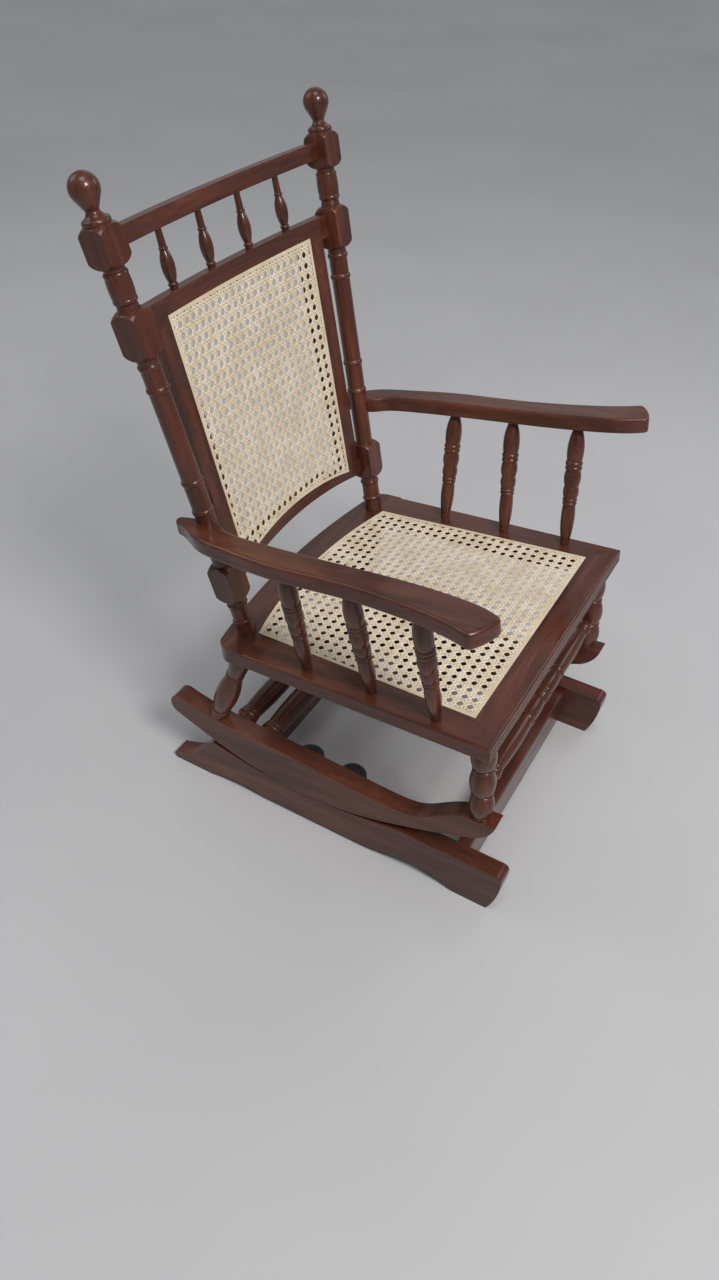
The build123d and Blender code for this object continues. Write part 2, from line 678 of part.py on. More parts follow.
def draw_upper_outline():
    inner = back_cane_top_half - ledge_wide
    ledge = back_cane_top - ledge_wide
    Polygon(
        (-upper_half, upper_low), (-inner, upper_low), (-inner, ledge), (inner, ledge), (inner, upper_low),
        (upper_half, upper_low), (upper_half, upper_high), (-upper_half, upper_high), align=None,
    )


def draw_lower_outline():
    inner = back_cane_bottom_half - ledge_wide
    ledge = back_cane_bottom + ledge_wide
    with BuildLine() as outline:
        ThreePointArc((-lower_half, lower_low), (0, lower_low + lower_arch), (lower_half, lower_low))
        Polyline((lower_half, lower_low), (lower_half, lower_high), (inner, lower_high), (inner, ledge))
        ThreePointArc((inner, ledge), (0, ledge + back_cane_arch), (-inner, ledge))
        Polyline((-inner, ledge), (-inner, lower_high), (-lower_half, lower_high), (-lower_half, lower_low))
    make_face(outline.edges())


def draw_stile_outline():
    bottom_inner = back_cane_bottom_half - ledge_wide
    top_inner = back_cane_top_half - ledge_wide
    Polygon(
        (bottom_inner, lower_high), (stile_bottom_half, lower_high), (stile_top_half, upper_low),
        (top_inner, upper_low), (top_inner, back_cane_top - ledge_wide),
        (bottom_inner, back_cane_bottom + ledge_wide), align=None,
    )


with BuildPart() as back_crest_rail:
    with BuildSketch(band_plane.offset(crest_low)):
        draw_band(crest_half, frame_front, frame_thick)
    extrude(amount=crest_high - crest_low)
    cut_gallery_holes(crest_low, 1)
save(back_crest_rail, "back_crest_rail")

with BuildPart() as back_upper_rail:
    frame_member(draw_upper_outline, upper_half)
    cut_back_cane_seat()
    cut_stile_mortises()
    cut_gallery_holes(upper_high, -1)
save(back_upper_rail, "back_upper_rail")

with BuildPart() as back_lower_rail:
    frame_member(draw_lower_outline, lower_half)
    cut_back_cane_seat()
    cut_stile_mortises()
save(back_lower_rail, "back_lower_rail")

with BuildPart() as back_stile:
    frame_member(draw_stile_outline, bow_half)
    cut_back_cane_seat()
    for x, up in stile_tenon_places:
        with Locations(stile_tenon_spot(1, x, up)):
            Box(stile_tenon_wide, stile_tenon_thick, 2 * stile_tenon)
save_pair(back_stile, "back_stile")

# Back cane and spline, bowed with the frame
with BuildPart() as back_cane:
    with BuildSketch(band_plane):
        draw_band(bow_half, frame_front, cane_thick)
    extrude(amount=crest_low)
    with BuildSketch(back_plane):
        draw_back_opening(groove_wide + joint_clearance)
        with Locations(*net_places(*back_net, back_net_place)):
            Rectangle(net_hole, net_hole, mode=Mode.SUBTRACT)
    extrude(amount=through, both=True, mode=Mode.INTERSECT)
save(back_cane, "back_cane")

with BuildPart() as back_cane_spline:
    with BuildSketch(band_plane):
        draw_band(bow_half, frame_front - spline_proud, groove_deep + spline_proud - joint_clearance)
    extrude(amount=crest_low)
    with BuildSketch(back_plane):
        draw_back_opening(joint_clearance)
        draw_back_opening(groove_wide - joint_clearance, Mode.SUBTRACT)
    extrude(amount=through, both=True, mode=Mode.INTERSECT)
save(back_cane_spline, "back_cane_spline")

# Gallery spindles: small vases between the upper rail and the crest rail
gallery_long = crest_low - upper_high
for number, x in enumerate(gallery_places, 1):
    with BuildPart() as gallery_spindle:
        turn(back_point(x, upper_high, frame_front + frame_thick / 2 + bow(x)), back_up, (
            (-gallery_tenon, gallery_tenon_radius, 0), (0, gallery_tenon_radius, 0), (0, 5.5, 0), (3, 5.5, 0),
            (8, 5, 1.4), (47, 5, 4), (51, 5, 1.2), (gallery_long - 4, 4.5, 0), (gallery_long, 5.5, -0.4),
            (gallery_long, gallery_tenon_radius, 0),
            (gallery_long + gallery_tenon, gallery_tenon_radius, 0),
        ))
    save(gallery_spindle, f"gallery_spindle_{number}")


def on_arm(x, y):
    """Point of the arm's outline from a plan position."""
    return (x, y * arm_stretch)


# Arm: swept board that narrows to the post and flares to the hand
inner_edge = (
    (267, -264), (254.6, -236), (248, -206), (241.7, -156), (236.4, -56), (233, 44), (230, 94), (227, 128),
    (220, 156), (210.5, 174), (208, 190), (208, 215), (212, 238),
)
outer_edge = (
    (226, 236), (239, 208), (253, 184), (259, 164), (264, 134), (270, 94), (275.4, 44), (277, -56),
    (281, -106), (288, -156), (299, -206), (312, -242),
)
with BuildPart() as arm:
    with BuildSketch(arm_plane):
        with BuildLine():
            Spline(*(on_arm(*place) for place in inner_edge))
            ThreePointArc(on_arm(*inner_edge[-1]), on_arm(220, 241), on_arm(*outer_edge[0]))
            Spline(*(on_arm(*place) for place in outer_edge))
            ThreePointArc(on_arm(*outer_edge[-1]), on_arm(291, -257), on_arm(*inner_edge[0]))
        make_face()
    extrude(amount=-arm_thick)
    fillet(arm.edges().filter_by(Axis((0, 0, 0), arm_plane.z_dir)).sort_by(Axis.Y)[:2], 7)
    fillet(arm.faces().sort_by(Axis((0, 0, 0), arm_plane.z_dir))[-1].edges(), 5)
    fillet(arm.faces().sort_by(Axis((0, 0, 0), arm_plane.z_dir))[0].edges(), 4)
    rod(post_foot, post_axis, 100, 300, post_radius + joint_clearance, Mode.SUBTRACT)
    for foot, head in zip(spindle_feet, spindle_heads):
        start, way, length = spindle_line(foot, head)
        rod(start, way, length - 40, length + spindle_head_tenon - arm_thick / 2 + socket_relief,
            spindle_tenon_radius + joint_clearance, Mode.SUBTRACT)
    rod(Vector(0, roll_y, rocker_centre_z), Vector(1, 0, 0), peg_start_x - 10, peg_end_x + socket_relief,
        peg_radius + running_clearance, Mode.SUBTRACT)
    rod(arm_screw_centre, arm_screw_way, 0, 40, arm_screw_radius + joint_clearance, Mode.SUBTRACT)
    rod(arm_screw_centre, arm_screw_way, arm_screw_head, 60, arm_plug_radius + joint_clearance, Mode.SUBTRACT)
save_pair(arm, "arm")

# Arm spindles, trimmed to the seat below and the arm above
for number, (foot, head) in enumerate(zip(spindle_feet, spindle_heads), 1):
    start, way, length = spindle_line(foot, head)
    top = length - arm_thick / 2
    with BuildPart() as arm_spindle:
        turn(start, way, (
            (-5, 7.5, 0), (8, 7.5, 0), (top * 0.34, 10, 2.2), (top * 0.37, 10, 1.4), (top * 0.4, 10.5, 1.4),
            (top * 0.5, 11, 1.8), (top * 0.63, 11.5, 2.2), (top * 0.67, 12, 1.5), (top * 0.71, 12, 1.5),
            (top * 0.96, 7.5, 3.2), (top + 8, 7.5, 0),
        ))
        split(bisect_by=seat_plane.offset(running_clearance), keep=Keep.TOP)
        split(bisect_by=arm_under.offset(-running_clearance), keep=Keep.BOTTOM)
        rod(start, way, -spindle_foot_tenon, 6, spindle_tenon_radius)
        rod(start, way, top - 6, top + spindle_head_tenon, spindle_tenon_radius)
        rod(Vector(0, roll_y, rocker_centre_z), Vector(1, 0, 0), peg_start_x, peg_end_x,
            peg_radius + running_clearance, Mode.SUBTRACT)
    save(arm_spindle, f"arm_spindle_left_{number}")
    with BuildPart() as arm_spindle_right:
        mirror(arm_spindle.part, about=Plane.YZ)
    save(arm_spindle_right, f"arm_spindle_right_{number}")

# Arm fasteners
with BuildPart() as arm_pegs:
    rod(Vector(0, roll_y, rocker_centre_z), Vector(1, 0, 0), peg_start_x, peg_end_x, peg_radius)
    mirror(about=Plane.YZ)
save(arm_pegs, "arm_pegs")

with BuildPart() as arm_screws:
    rod(arm_screw_centre, arm_screw_way, arm_screw_tip, arm_screw_head + 1, arm_screw_radius)
    rod(arm_screw_centre, arm_screw_way, arm_screw_head, arm_screw_top, arm_screw_head_radius)
    mirror(about=Plane.YZ)
save(arm_screws, "arm_screws")

with BuildPart() as arm_plugs:
    rod(arm_screw_centre, arm_screw_way, arm_screw_top, arm_plug_end, arm_plug_radius)
    mirror(about=Plane.YZ)
save(arm_plugs, "arm_plugs")

# Spring brackets: a plate with a shelf and spigots below, a plate with two domed cups above
with BuildPart() as spring_lower_bracket:
    with BuildSketch(Plane.YZ.offset(runner_inner_x)):
        with Locations(((bracket_front + bracket_rear) / 2, (lower_bracket_low + lower_bracket_high) / 2)):
            RectangleRounded(bracket_rear - bracket_front, lower_bracket_high - lower_bracket_low, 4)
    extrude(amount=-bracket_thick)
    with BuildSketch(Plane.XY.offset(lower_bracket_low)):
        with Locations((runner_inner_x - 26, (bracket_front + bracket_rear) / 2)):
            RectangleRounded(52, bracket_rear - bracket_front, 4)
    extrude(amount=coil_low - lower_bracket_low)
    for y in spring_places:
        rod(Vector(spring_x, y, coil_low), Vector(0, 0, 1), -1, spigot_high - coil_low, spigot_radius)
    for y, z in lower_screw_places:
        rod(Vector(runner_inner_x, y, z), Vector(-1, 0, 0), -5, 10,
            screw_radius + joint_clearance, Mode.SUBTRACT)
save_pair(spring_lower_bracket, "spring_lower_bracket")

dome_radius = dome_inner_radius + dome_wall
dome_shoulder_z = dome_ceiling_z - 3.5
with BuildPart() as spring_upper_bracket:
    with BuildSketch(Plane.YZ.offset(runner_inner_x)):
        with Locations(((bracket_front + bracket_rear) / 2, (upper_bracket_low + upper_bracket_high) / 2)):
            RectangleRounded(bracket_rear - bracket_front, upper_bracket_high - upper_bracket_low, 4)
    extrude(amount=-bracket_thick)
    for y in spring_places:
        turn(Vector(spring_x, y, 0), Vector(0, 0, 1), (
            (dome_skirt_z, dome_radius, 0), (dome_shoulder_z, dome_radius, 0),
            (dome_top_z, dome_radius - 9.5, 3),
        ))
    for y in spring_places:
        turn(Vector(spring_x, y, 0), Vector(0, 0, 1), (
            (dome_skirt_z, dome_inner_radius, 0), (dome_shoulder_z, dome_inner_radius, 0),
            (dome_ceiling_z, dome_inner_radius - 5, 1.5),
        ), Mode.SUBTRACT)
    for y, z in upper_screw_places:
        rod(Vector(runner_inner_x, y, z), Vector(-1, 0, 0), -5, 10,
            screw_radius + joint_clearance, Mode.SUBTRACT)
save_pair(spring_upper_bracket, "spring_upper_bracket")

screw_groups = {"spring_lower_screws": lower_screw_places, "spring_upper_screws": upper_screw_places}
for label, places in screw_groups.items():
    with BuildPart() as bracket_screws:
        for y, z in places:
            spot = Vector(runner_inner_x - bracket_thick, y, z)
            rod(spot, Vector(1, 0, 0), -1, bracket_thick + screw_deep, screw_radius)
            rod(spot, Vector(-1, 0, 0), 0, screw_head_high, screw_head_radius)
        mirror(about=Plane.YZ)
    save(bracket_screws, label)


def biarc(p0, t0, p1, t1):
    """Two arcs that leave one point and reach another along given directions."""
    gap = p1 - p0
    both = t0 + t1
    turning = 2 * (1 - t0.dot(t1))
    reach = (-gap.dot(both) + sqrt(gap.dot(both) ** 2 + turning * gap.dot(gap))) / turning
    first = p0 + t0 * reach
    second = p1 - t1 * reach
    joint = (first + second) * 0.5
    TangentArc(p0, joint, tangent=t0)
    TangentArc(joint, p1, tangent=second - first)


coil_lead = 7.0
coil_bottom = coil_low + 2 * wire_radius + coil_lead
coil_top = coil_high - 2 * wire_radius - coil_lead
coil_rise = (coil_top - coil_bottom) / (coil_turns * 2 * pi)


def coil_point(x, y, angle):
    """Place and direction on one coil at a winding angle from its first full turn."""
    height = coil_bottom + coil_rise * angle
    place = Vector(x + coil_radius * cos(angle), y + coil_radius * sin(angle), height)
    way = Vector(-coil_radius * sin(angle), coil_radius * cos(angle), coil_rise).normalized()
    return place, way


def coil(x, y):
    """One spring: upright ends of a wire diameter, biarcs of half a turn between."""
    up = Vector(0, 0, 1)
    foot = Vector(x + coil_radius * cos(-pi / 2), y + coil_radius * sin(-pi / 2), coil_low)
    last = coil_turns * 2 * pi
    head = Vector(x + coil_radius * cos(last + pi / 2), y + coil_radius * sin(last + pi / 2), coil_high)
    lift = up * (2 * wire_radius)
    with BuildLine() as path:
        Line(foot, foot + lift)
        biarc(foot + lift, up, *coil_point(x, y, 0))
        for half_turn in range(2 * coil_turns):
            biarc(*coil_point(x, y, half_turn * pi), *coil_point(x, y, (half_turn + 1) * pi))
        biarc(*coil_point(x, y, last), head - lift, up)
        Line(head - lift, head)
    with BuildSketch(Plane(origin=foot, z_dir=up)) as section:
        Circle(wire_radius)
    sweep(section.sketch, path=path.wire())
    return path.wire()


def least_self_gap(wire):
    """Clear space between a coil's own turns, measured on points along it."""
    count = 60 * coil_turns
    points = [wire @ (i / count) for i in range(count + 1)]
    apart = 30
    distances = [
        (points[i] - points[j]).length for i in range(count + 1) for j in range(i + apart, count + 1)
    ]
    return min(distances) - 2 * wire_radius


for label, x in (("spring_coils_left", spring_x), ("spring_coils_right", -spring_x)):
    with BuildPart() as spring_coils:
        for y in spring_places:
            wound = coil(x, y)
    print(label, "least self gap", round(least_self_gap(wound), 2))
    save(spring_coils, label)
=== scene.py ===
import math
import bpy
from mathutils import Matrix, Vector


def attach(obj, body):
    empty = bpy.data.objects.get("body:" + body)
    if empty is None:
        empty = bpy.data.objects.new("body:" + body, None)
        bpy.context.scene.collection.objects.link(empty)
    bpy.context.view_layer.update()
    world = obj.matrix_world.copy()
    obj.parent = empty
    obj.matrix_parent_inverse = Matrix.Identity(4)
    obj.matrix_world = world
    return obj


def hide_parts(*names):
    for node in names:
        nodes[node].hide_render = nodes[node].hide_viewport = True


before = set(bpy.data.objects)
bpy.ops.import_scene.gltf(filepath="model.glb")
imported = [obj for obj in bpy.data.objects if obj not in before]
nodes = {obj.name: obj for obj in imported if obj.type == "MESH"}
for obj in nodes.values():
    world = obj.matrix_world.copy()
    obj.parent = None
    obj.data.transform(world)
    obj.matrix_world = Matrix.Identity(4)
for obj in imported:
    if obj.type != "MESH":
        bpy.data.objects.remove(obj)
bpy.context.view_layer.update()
MM = 0.001

# Camera solved from the floor tiles and the chair's feet: a phone held about 1.3 m up
CAMERA_AT = Vector((-1.0646, -0.5280, 1.2850))
CAMERA_RIGHT = Vector((0.50298, -0.86412, 0.02053))
CAMERA_UP = Vector((0.56497, 0.34665, 0.74879))
CAMERA_LENS = 27.11
CAMERA_SENSOR = 36.0

# Seat and back surfaces, as the CAD frame has them, in millimetres
SEAT_Z = 344.7
SEAT_SLOPE = 0.0808
SEAT_FRONT, SEAT_REAR, SEAT_BOW = -231.0, 133.0, 25.0
SEAT_FRONT_HALF, SEAT_REAR_HALF = 210.0, 191.0
BACK_ORIGIN = Vector((0, 152.2, 332.0))
BACK_UP = Vector((0, 0.2272, 0.9738)).normalized()
BACK_REAR = Vector((0, 0.9738, -0.2272)).normalized()
BACK_FACE = -2.0
BACK_BOW, BACK_BOW_HALF = 14.0, 212.0
BACK_TOP, BACK_TOP_HALF = 465.0, 165.5
BACK_BOTTOM, BACK_BOTTOM_HALF, BACK_ARCH = 93.0, 149.0, 18.0
BOW_STEPS = 24

# Cane weave, in millimetres; a strand's section gives shares of its width across and half thicknesses up
CANE_PITCH = 15.4
CANE_WIDE = 3.3
CANE_PAIR = 3.9
CANE_DIAGONAL_WIDE = 3.8
CANE_HALF_THICK = 0.3
CANE_WAVE = 0.35
CANE_DIAGONAL_WAVE = 0.6
CANE_DEPTH = 0.6
CANE_EDGE = 4.4
CANE_SECTION = ((-0.5, -1), (-0.36, 1), (0.36, 1), (0.5, -1))
CANE_END_MARGIN = 0.5
CANE_CROSSING_REACH = 1.2
PAIRS_EACH_SIDE = 20
SEAT_WEAVE_MIDDLE = (0.0, -38.0)
BACK_WEAVE_MIDDLE = (0.0, 285.0)

# Springs, in millimetres
SPRING_X = 176.5
SPRING_PLACES = (54.0, -26.0)
COIL_RADIUS, WIRE_RADIUS, COIL_TURNS = 12.0, 2.0, 5
COIL_LOW, COIL_HIGH = 17.0, 92.0
COIL_LEAD = 7.0
EASE_STEPS, EASE_TURN, EASE_RISE = 6, 1.6, 1.8
STEPS_PER_TURN = 20
WIRE_SIDES = 12

# Looks of wood and cane: ramps of (place, linear colour), and the way of the left post's grain
WHITE = (1.0, 1.0, 1.0)
WOOD_FIGURE = (
    (0.30, (0.042, 0.0130, 0.0078)), (0.46, (0.075, 0.0212, 0.0112)),
    (0.58, (0.106, 0.0295, 0.0152)), (0.72, (0.152, 0.0435, 0.0215)),
)
WOOD_STREAKS = ((0.36, (0.50, 0.46, 0.44)), (0.60, WHITE))
WOOD_PORES = ((0.30, (0.35, 0.30, 0.28)), (0.42, WHITE))
# Edge colour: partly varnish wear on the edges, partly a painted highlight along every edge
WOOD_EDGE_WEAR_AND_HIGHLIGHT = (0.17, 0.052, 0.026)
POST_WAY = (0.0753, 0.2266, 0.9711)
CANE_STAIN = ((0.35, (0.86, 0.80, 0.70)), (0.62, WHITE))
CANE_FIBRES = ((0.35, (0.82, 0.76, 0.66)), (0.55, WHITE))

# Floor and surroundings
FLOOR_HALF = 30.0
FLOOR_CLOUDS = ((0.3, (0.45, 0.45, 0.46)), (0.7, (0.49, 0.49, 0.50)))
WORLD_COLOUR = (0.93, 0.95, 1.0, 1.0)
WORLD_STRENGTH = 0.24

# Places of the colour sockets among a mix node's sockets
MIX_FIRST, MIX_SECOND, MIX_RESULT = 6, 7, 2


def material(name):
    """Empty node material with its principled shader."""
    mat = bpy.data.materials.new(name)
    mat.use_nodes = True
    tree = mat.node_tree
    return mat, tree, tree.nodes["Principled BSDF"]


def node(tree, kind, **values):
    """Shader node with its properties or input values set by name."""
    made = tree.nodes.new(kind)
    for key, value in values.items():
        if hasattr(made, key):
            setattr(made, key, value)
        else:
            made.inputs[key.replace("_", " ")].default_value = value
    return made


def grey(value):
    """Colour with three equal parts."""
    return (value,) * 3


def ramp(tree, source, stops):
    """Colour ramp fed by a socket; stops are (place, colour)."""
    made = tree.nodes.new("ShaderNodeValToRGB")
    while len(made.color_ramp.elements) < len(stops):
        made.color_ramp.elements.new(0.5)
    for element, (place, colour) in zip(made.color_ramp.elements, stops):
        element.position = place
        element.color = (*colour, 1.0)
    tree.links.new(source, made.inputs["Fac"])
    return made.outputs["Color"]


def mix(tree, blend, factor, first, second):
    """Colour mix; factor is a number or a socket."""
    made = tree.nodes.new("ShaderNodeMix")
    made.data_type = "RGBA"
    made.blend_type = blend
    if isinstance(factor, (int, float)):
        made.inputs["Factor"].default_value = factor
    else:
        tree.links.new(factor, made.inputs["Factor"])
    for socket, value in ((made.inputs[MIX_FIRST], first), (made.inputs[MIX_SECOND], second)):
        if isinstance(value, tuple):
            socket.default_value = (*value, 1.0)
        else:
            tree.links.new(value, socket)
    return made.outputs[MIX_RESULT]


def grain_coordinates(tree, way, stretch):
    """Object coordinates turned so that the grain runs along Z, then drawn out along it."""
    turn = Vector(way).normalized().rotation_difference(Vector((0, 0, 1))).to_euler()
    source = node(tree, "ShaderNodeTexCoord")
    turned = node(tree, "ShaderNodeMapping", vector_type="POINT")
    turned.inputs["Rotation"].default_value = turn
    drawn = node(tree, "ShaderNodeMapping", vector_type="POINT")
    drawn.inputs["Scale"].default_value = (1, 1, stretch)
    tree.links.new(source.outputs["Object"], turned.inputs["Vector"])
    tree.links.new(turned.outputs["Vector"], drawn.inputs["Vector"])
    return drawn.outputs["Vector"]


def noise(tree, vector, scale, detail=4.0, rough=0.55, distortion=0.0):
    """Noise value in a coordinate."""
    made = node(
        tree, "ShaderNodeTexNoise", Scale=scale, Detail=detail, Roughness=rough, Distortion=distortion
    )
    tree.links.new(vector, made.inputs["Vector"])
    return made.outputs["Fac"]


def wood(name, way):
    """Dark varnished wood: broad figure, fine streaks, pores, redder edges that are partly wear and partly a
    painted highlight.
    """
    mat, tree, shader = material(name)
    broad = noise(
        tree, grain_coordinates(tree, way, stretch=0.10), scale=38.0, detail=5.0, rough=0.6, distortion=0.8
    )
    streak = noise(tree, grain_coordinates(tree, way, stretch=0.035), scale=420.0, detail=3.0)
    pores = noise(tree, grain_coordinates(tree, way, stretch=0.03), scale=1500.0, detail=2.0, rough=0.7)
    figure = ramp(tree, broad, WOOD_FIGURE)
    lines = ramp(tree, streak, WOOD_STREAKS)
    coloured = mix(tree, "MULTIPLY", factor=0.55, first=figure, second=lines)
    specks = ramp(tree, pores, WOOD_PORES)
    coloured = mix(tree, "MULTIPLY", factor=0.6, first=coloured, second=specks)
    bevel = node(tree, "ShaderNodeBevel", samples=4, Radius=0.0016)
    surface = node(tree, "ShaderNodeNewGeometry")
    facing = node(tree, "ShaderNodeVectorMath", operation="DOT_PRODUCT")
    tree.links.new(bevel.outputs["Normal"], facing.inputs[0])
    tree.links.new(surface.outputs["Normal"], facing.inputs[1])
    # Lighter redder colour on every rounded edge: varnish wear together with a painted edge highlight
    edge = ramp(tree, facing.outputs["Value"], ((0.86, grey(0.45)), (0.985, grey(0.0))))
    edge_wear_and_highlight = mix(tree, "MIX", factor=edge, first=coloured, second=WOOD_EDGE_WEAR_AND_HIGHLIGHT)
    tree.links.new(edge_wear_and_highlight, shader.inputs["Base Color"])
    sheen = ramp(tree, broad, ((0.3, grey(0.42)), (0.7, grey(0.27))))
    tree.links.new(sheen, shader.inputs["Roughness"])
    bump = node(tree, "ShaderNodeBump", Strength=0.22, Distance=0.0004)
    tree.links.new(specks, bump.inputs["Height"])
    tree.links.new(bevel.outputs["Normal"], bump.inputs["Normal"])
    tree.links.new(bump.outputs["Normal"], shader.inputs["Normal"])
    shader.inputs["Coat Weight"].default_value = 0.45
    shader.inputs["Coat Roughness"].default_value = 0.13
    shader.inputs["Specular IOR Level"].default_value = 0.25
    return mat


def cane(name, light, dark):
    """Split cane: each strand a little different, faint lengthwise fibres, a soft natural gloss."""
    mat, tree, shader = material(name)
    source = node(tree, "ShaderNodeTexCoord")
    island = node(tree, "ShaderNodeNewGeometry")
    patch = noise(tree, source.outputs["Object"], scale=30.0, detail=3.0)
    fibre = noise(tree, source.outputs["Object"], scale=900.0, detail=2.0)
    strand = ramp(tree, island.outputs["Random Per Island"], ((0.0, dark), (0.45, light), (1.0, light)))
    stain = ramp(tree, patch, CANE_STAIN)
    coloured = mix(tree, "MULTIPLY", factor=0.75, first=strand, second=stain)
    lines = ramp(tree, fibre, CANE_FIBRES)
    coloured = mix(tree, "MULTIPLY", factor=0.6, first=coloured, second=lines)
    tree.links.new(coloured, shader.inputs["Base Color"])
    gloss = ramp(tree, fibre, ((0.3, grey(0.55)), (0.7, grey(0.38))))
    tree.links.new(gloss, shader.inputs["Roughness"])
    bump = node(tree, "ShaderNodeBump", Strength=0.25, Distance=0.0002)
    tree.links.new(fibre, bump.inputs["Height"])
    tree.links.new(bump.outputs["Normal"], shader.inputs["Normal"])
    shader.inputs["Specular IOR Level"].default_value = 0.4
    return mat


def metal(name, light, dark, metallic, smooth, coarse):
    """Painted or bare steel with uneven gloss, grime and scratches."""
    mat, tree, shader = material(name)
    source = node(tree, "ShaderNodeTexCoord")
    grime = noise(tree, source.outputs["Object"], scale=90.0, detail=6.0, rough=0.65)
    scratch = noise(tree, source.outputs["Object"], scale=700.0, detail=2.0, rough=0.7, distortion=1.5)
    colour = ramp(tree, grime, ((0.35, dark), (0.65, light)))
    tree.links.new(colour, shader.inputs["Base Color"])
    gloss = ramp(tree, scratch, ((0.35, grey(coarse)), (0.65, grey(smooth))))
    tree.links.new(gloss, shader.inputs["Roughness"])
    bump = node(tree, "ShaderNodeBump", Strength=0.12, Distance=0.0002)
    tree.links.new(scratch, bump.inputs["Height"])
    tree.links.new(bump.outputs["Normal"], shader.inputs["Normal"])
    shader.inputs["Metallic"].default_value = metallic
    return mat


WOOD_ACROSS = wood("wood_across", (1, 0, 0))
WOOD_ALONG = wood("wood_along", (0, 1, -0.08))
WOOD_UPRIGHT = wood("wood_upright", (0, 0.08, 1))
WOOD_POST_LEFT = wood("wood_post_left", POST_WAY)
WOOD_POST_RIGHT = wood("wood_post_right", (-POST_WAY[0], POST_WAY[1], POST_WAY[2]))
CANE = cane("cane_strands", light=(0.755, 0.67, 0.545), dark=(0.66, 0.57, 0.44))
CANE_SPLINE = cane("cane_spline", light=(0.70, 0.61, 0.475), dark=(0.66, 0.56, 0.42))
BLACK_STEEL = metal(
    "black_enamel", light=(0.022, 0.022, 0.024), dark=(0.010, 0.010, 0.011),
    metallic=0.0, smooth=0.28, coarse=0.45,
)
SPRING_STEEL = metal(
    "spring_steel", light=(0.34, 0.34, 0.35), dark=(0.16, 0.15, 0.14), metallic=1.0, smooth=0.30, coarse=0.48
)
SCREW_STEEL = metal(
    "screw_steel", light=(0.55, 0.54, 0.50), dark=(0.34, 0.33, 0.30), metallic=1.0, smooth=0.25, coarse=0.42
)

# Words in the names of pieces whose grain runs from side to side, or from front to rear
ACROSS = ("rail", "stretcher", "pegs", "crest")
ALONG = ("runner", "rocker", "side_rail", "arm_left", "arm_right", "dowels", "plugs")


def wood_for(name):
    """The wood whose grain runs along a piece."""
    if name.startswith("back_post"):
        return WOOD_POST_LEFT if name.endswith("left") else WOOD_POST_RIGHT
    if any(word in name for word in ALONG):
        return WOOD_ALONG
    if any(word in name for word in ACROSS):
        return WOOD_ACROSS
    return WOOD_UPRIGHT


for name, piece in nodes.items():
    if "spline" in name:
        look = CANE_SPLINE
    elif "bracket" in name:
        look = BLACK_STEEL
    elif "screws" in name:
        look = SCREW_STEEL
    elif "coils" in name:
        look = SPRING_STEEL
    elif name.endswith("_cane"):
        look = CANE
    else:
        look = wood_for(name)
    piece.data.materials.clear()
    piece.data.materials.append(look)


def new_piece(name, points, faces, look):
    """Smooth-shaded mesh object from points in millimetres."""
    mesh = bpy.data.meshes.new(name)
    mesh.from_pydata([Vector(p) * MM for p in points], [], faces)
    mesh.validate()
    piece = bpy.data.objects.new(name, mesh)
    bpy.context.scene.collection.objects.link(piece)
    piece.data.materials.append(look)
    mesh.polygons.foreach_set("use_smooth", [True] * len(mesh.polygons))
    return piece


# Cane: the strands are laid in flat (u, v) places, then set on the seat or the bowed back
def seat_place(u, v, lift):
    """Point over the seat's top surface."""
    normal = Vector((0, SEAT_SLOPE, 1)).normalized()
    along = Vector((0, 1, -SEAT_SLOPE)).normalized()
    return Vector((u, 0, SEAT_Z)) + along * v + normal * (lift - CANE_DEPTH)


def back_place(u, v, lift):
    """Point before the back's front surface."""
    radius = (BACK_BOW_HALF**2 + BACK_BOW**2) / (2 * BACK_BOW)
    bow = BACK_BOW - radius + math.sqrt(radius**2 - u**2)
    depth = BACK_FACE + bow + CANE_DEPTH - lift
    return BACK_ORIGIN + Vector((u, 0, 0)) + BACK_UP * v + BACK_REAR * depth


def arc_points(left, right, base, rise):
    """Points of a shallow bow from right to left."""
    half = (right - left) / 2
    radius = (half**2 + rise**2) / (2 * abs(rise))
    places = []
    for step in range(BOW_STEPS + 1):
        x = right - 2 * half * step / BOW_STEPS
        drop = radius - math.sqrt(radius**2 - (x - (left + right) / 2) ** 2)
        places.append((x, base + math.copysign(abs(rise) - drop, rise)))
    return places


def seat_outline(inset):
    """Closed outline of the caned seat."""
    front_half, rear_half = SEAT_FRONT_HALF - inset, SEAT_REAR_HALF - inset
    rear = SEAT_REAR - inset
    corners = [(-front_half, SEAT_FRONT + inset), (front_half, SEAT_FRONT + inset)]
    return corners + arc_points(-rear_half, rear_half, rear, SEAT_BOW)


def back_outline(inset):
    """Closed outline of the caned back."""
    top_half, bottom_half = BACK_TOP_HALF - inset, BACK_BOTTOM_HALF - inset
    corners = [(-top_half, BACK_TOP - inset), (top_half, BACK_TOP - inset)]
    return corners + arc_points(-bottom_half, bottom_half, BACK_BOTTOM + inset, BACK_ARCH)


def runs_inside(outline, start, way):
    """Stretches of a line inside an outline, as pairs of distances from its start."""
    hits = []
    for (ax, ay), (bx, by) in zip(outline, outline[1:] + outline[:1]):
        side_a = way[0] * (ay - start[1]) - way[1] * (ax - start[0])
        side_b = way[0] * (by - start[1]) - way[1] * (bx - start[0])
        if (side_a > 0) == (side_b > 0):
            continue
        share = side_a / (side_a - side_b)
        x, y = ax + share * (bx - ax), ay + share * (by - ay)
        hits.append((x - start[0]) * way[0] + (y - start[1]) * way[1])
    hits.sort()
    return list(zip(hits[::2], hits[1::2]))


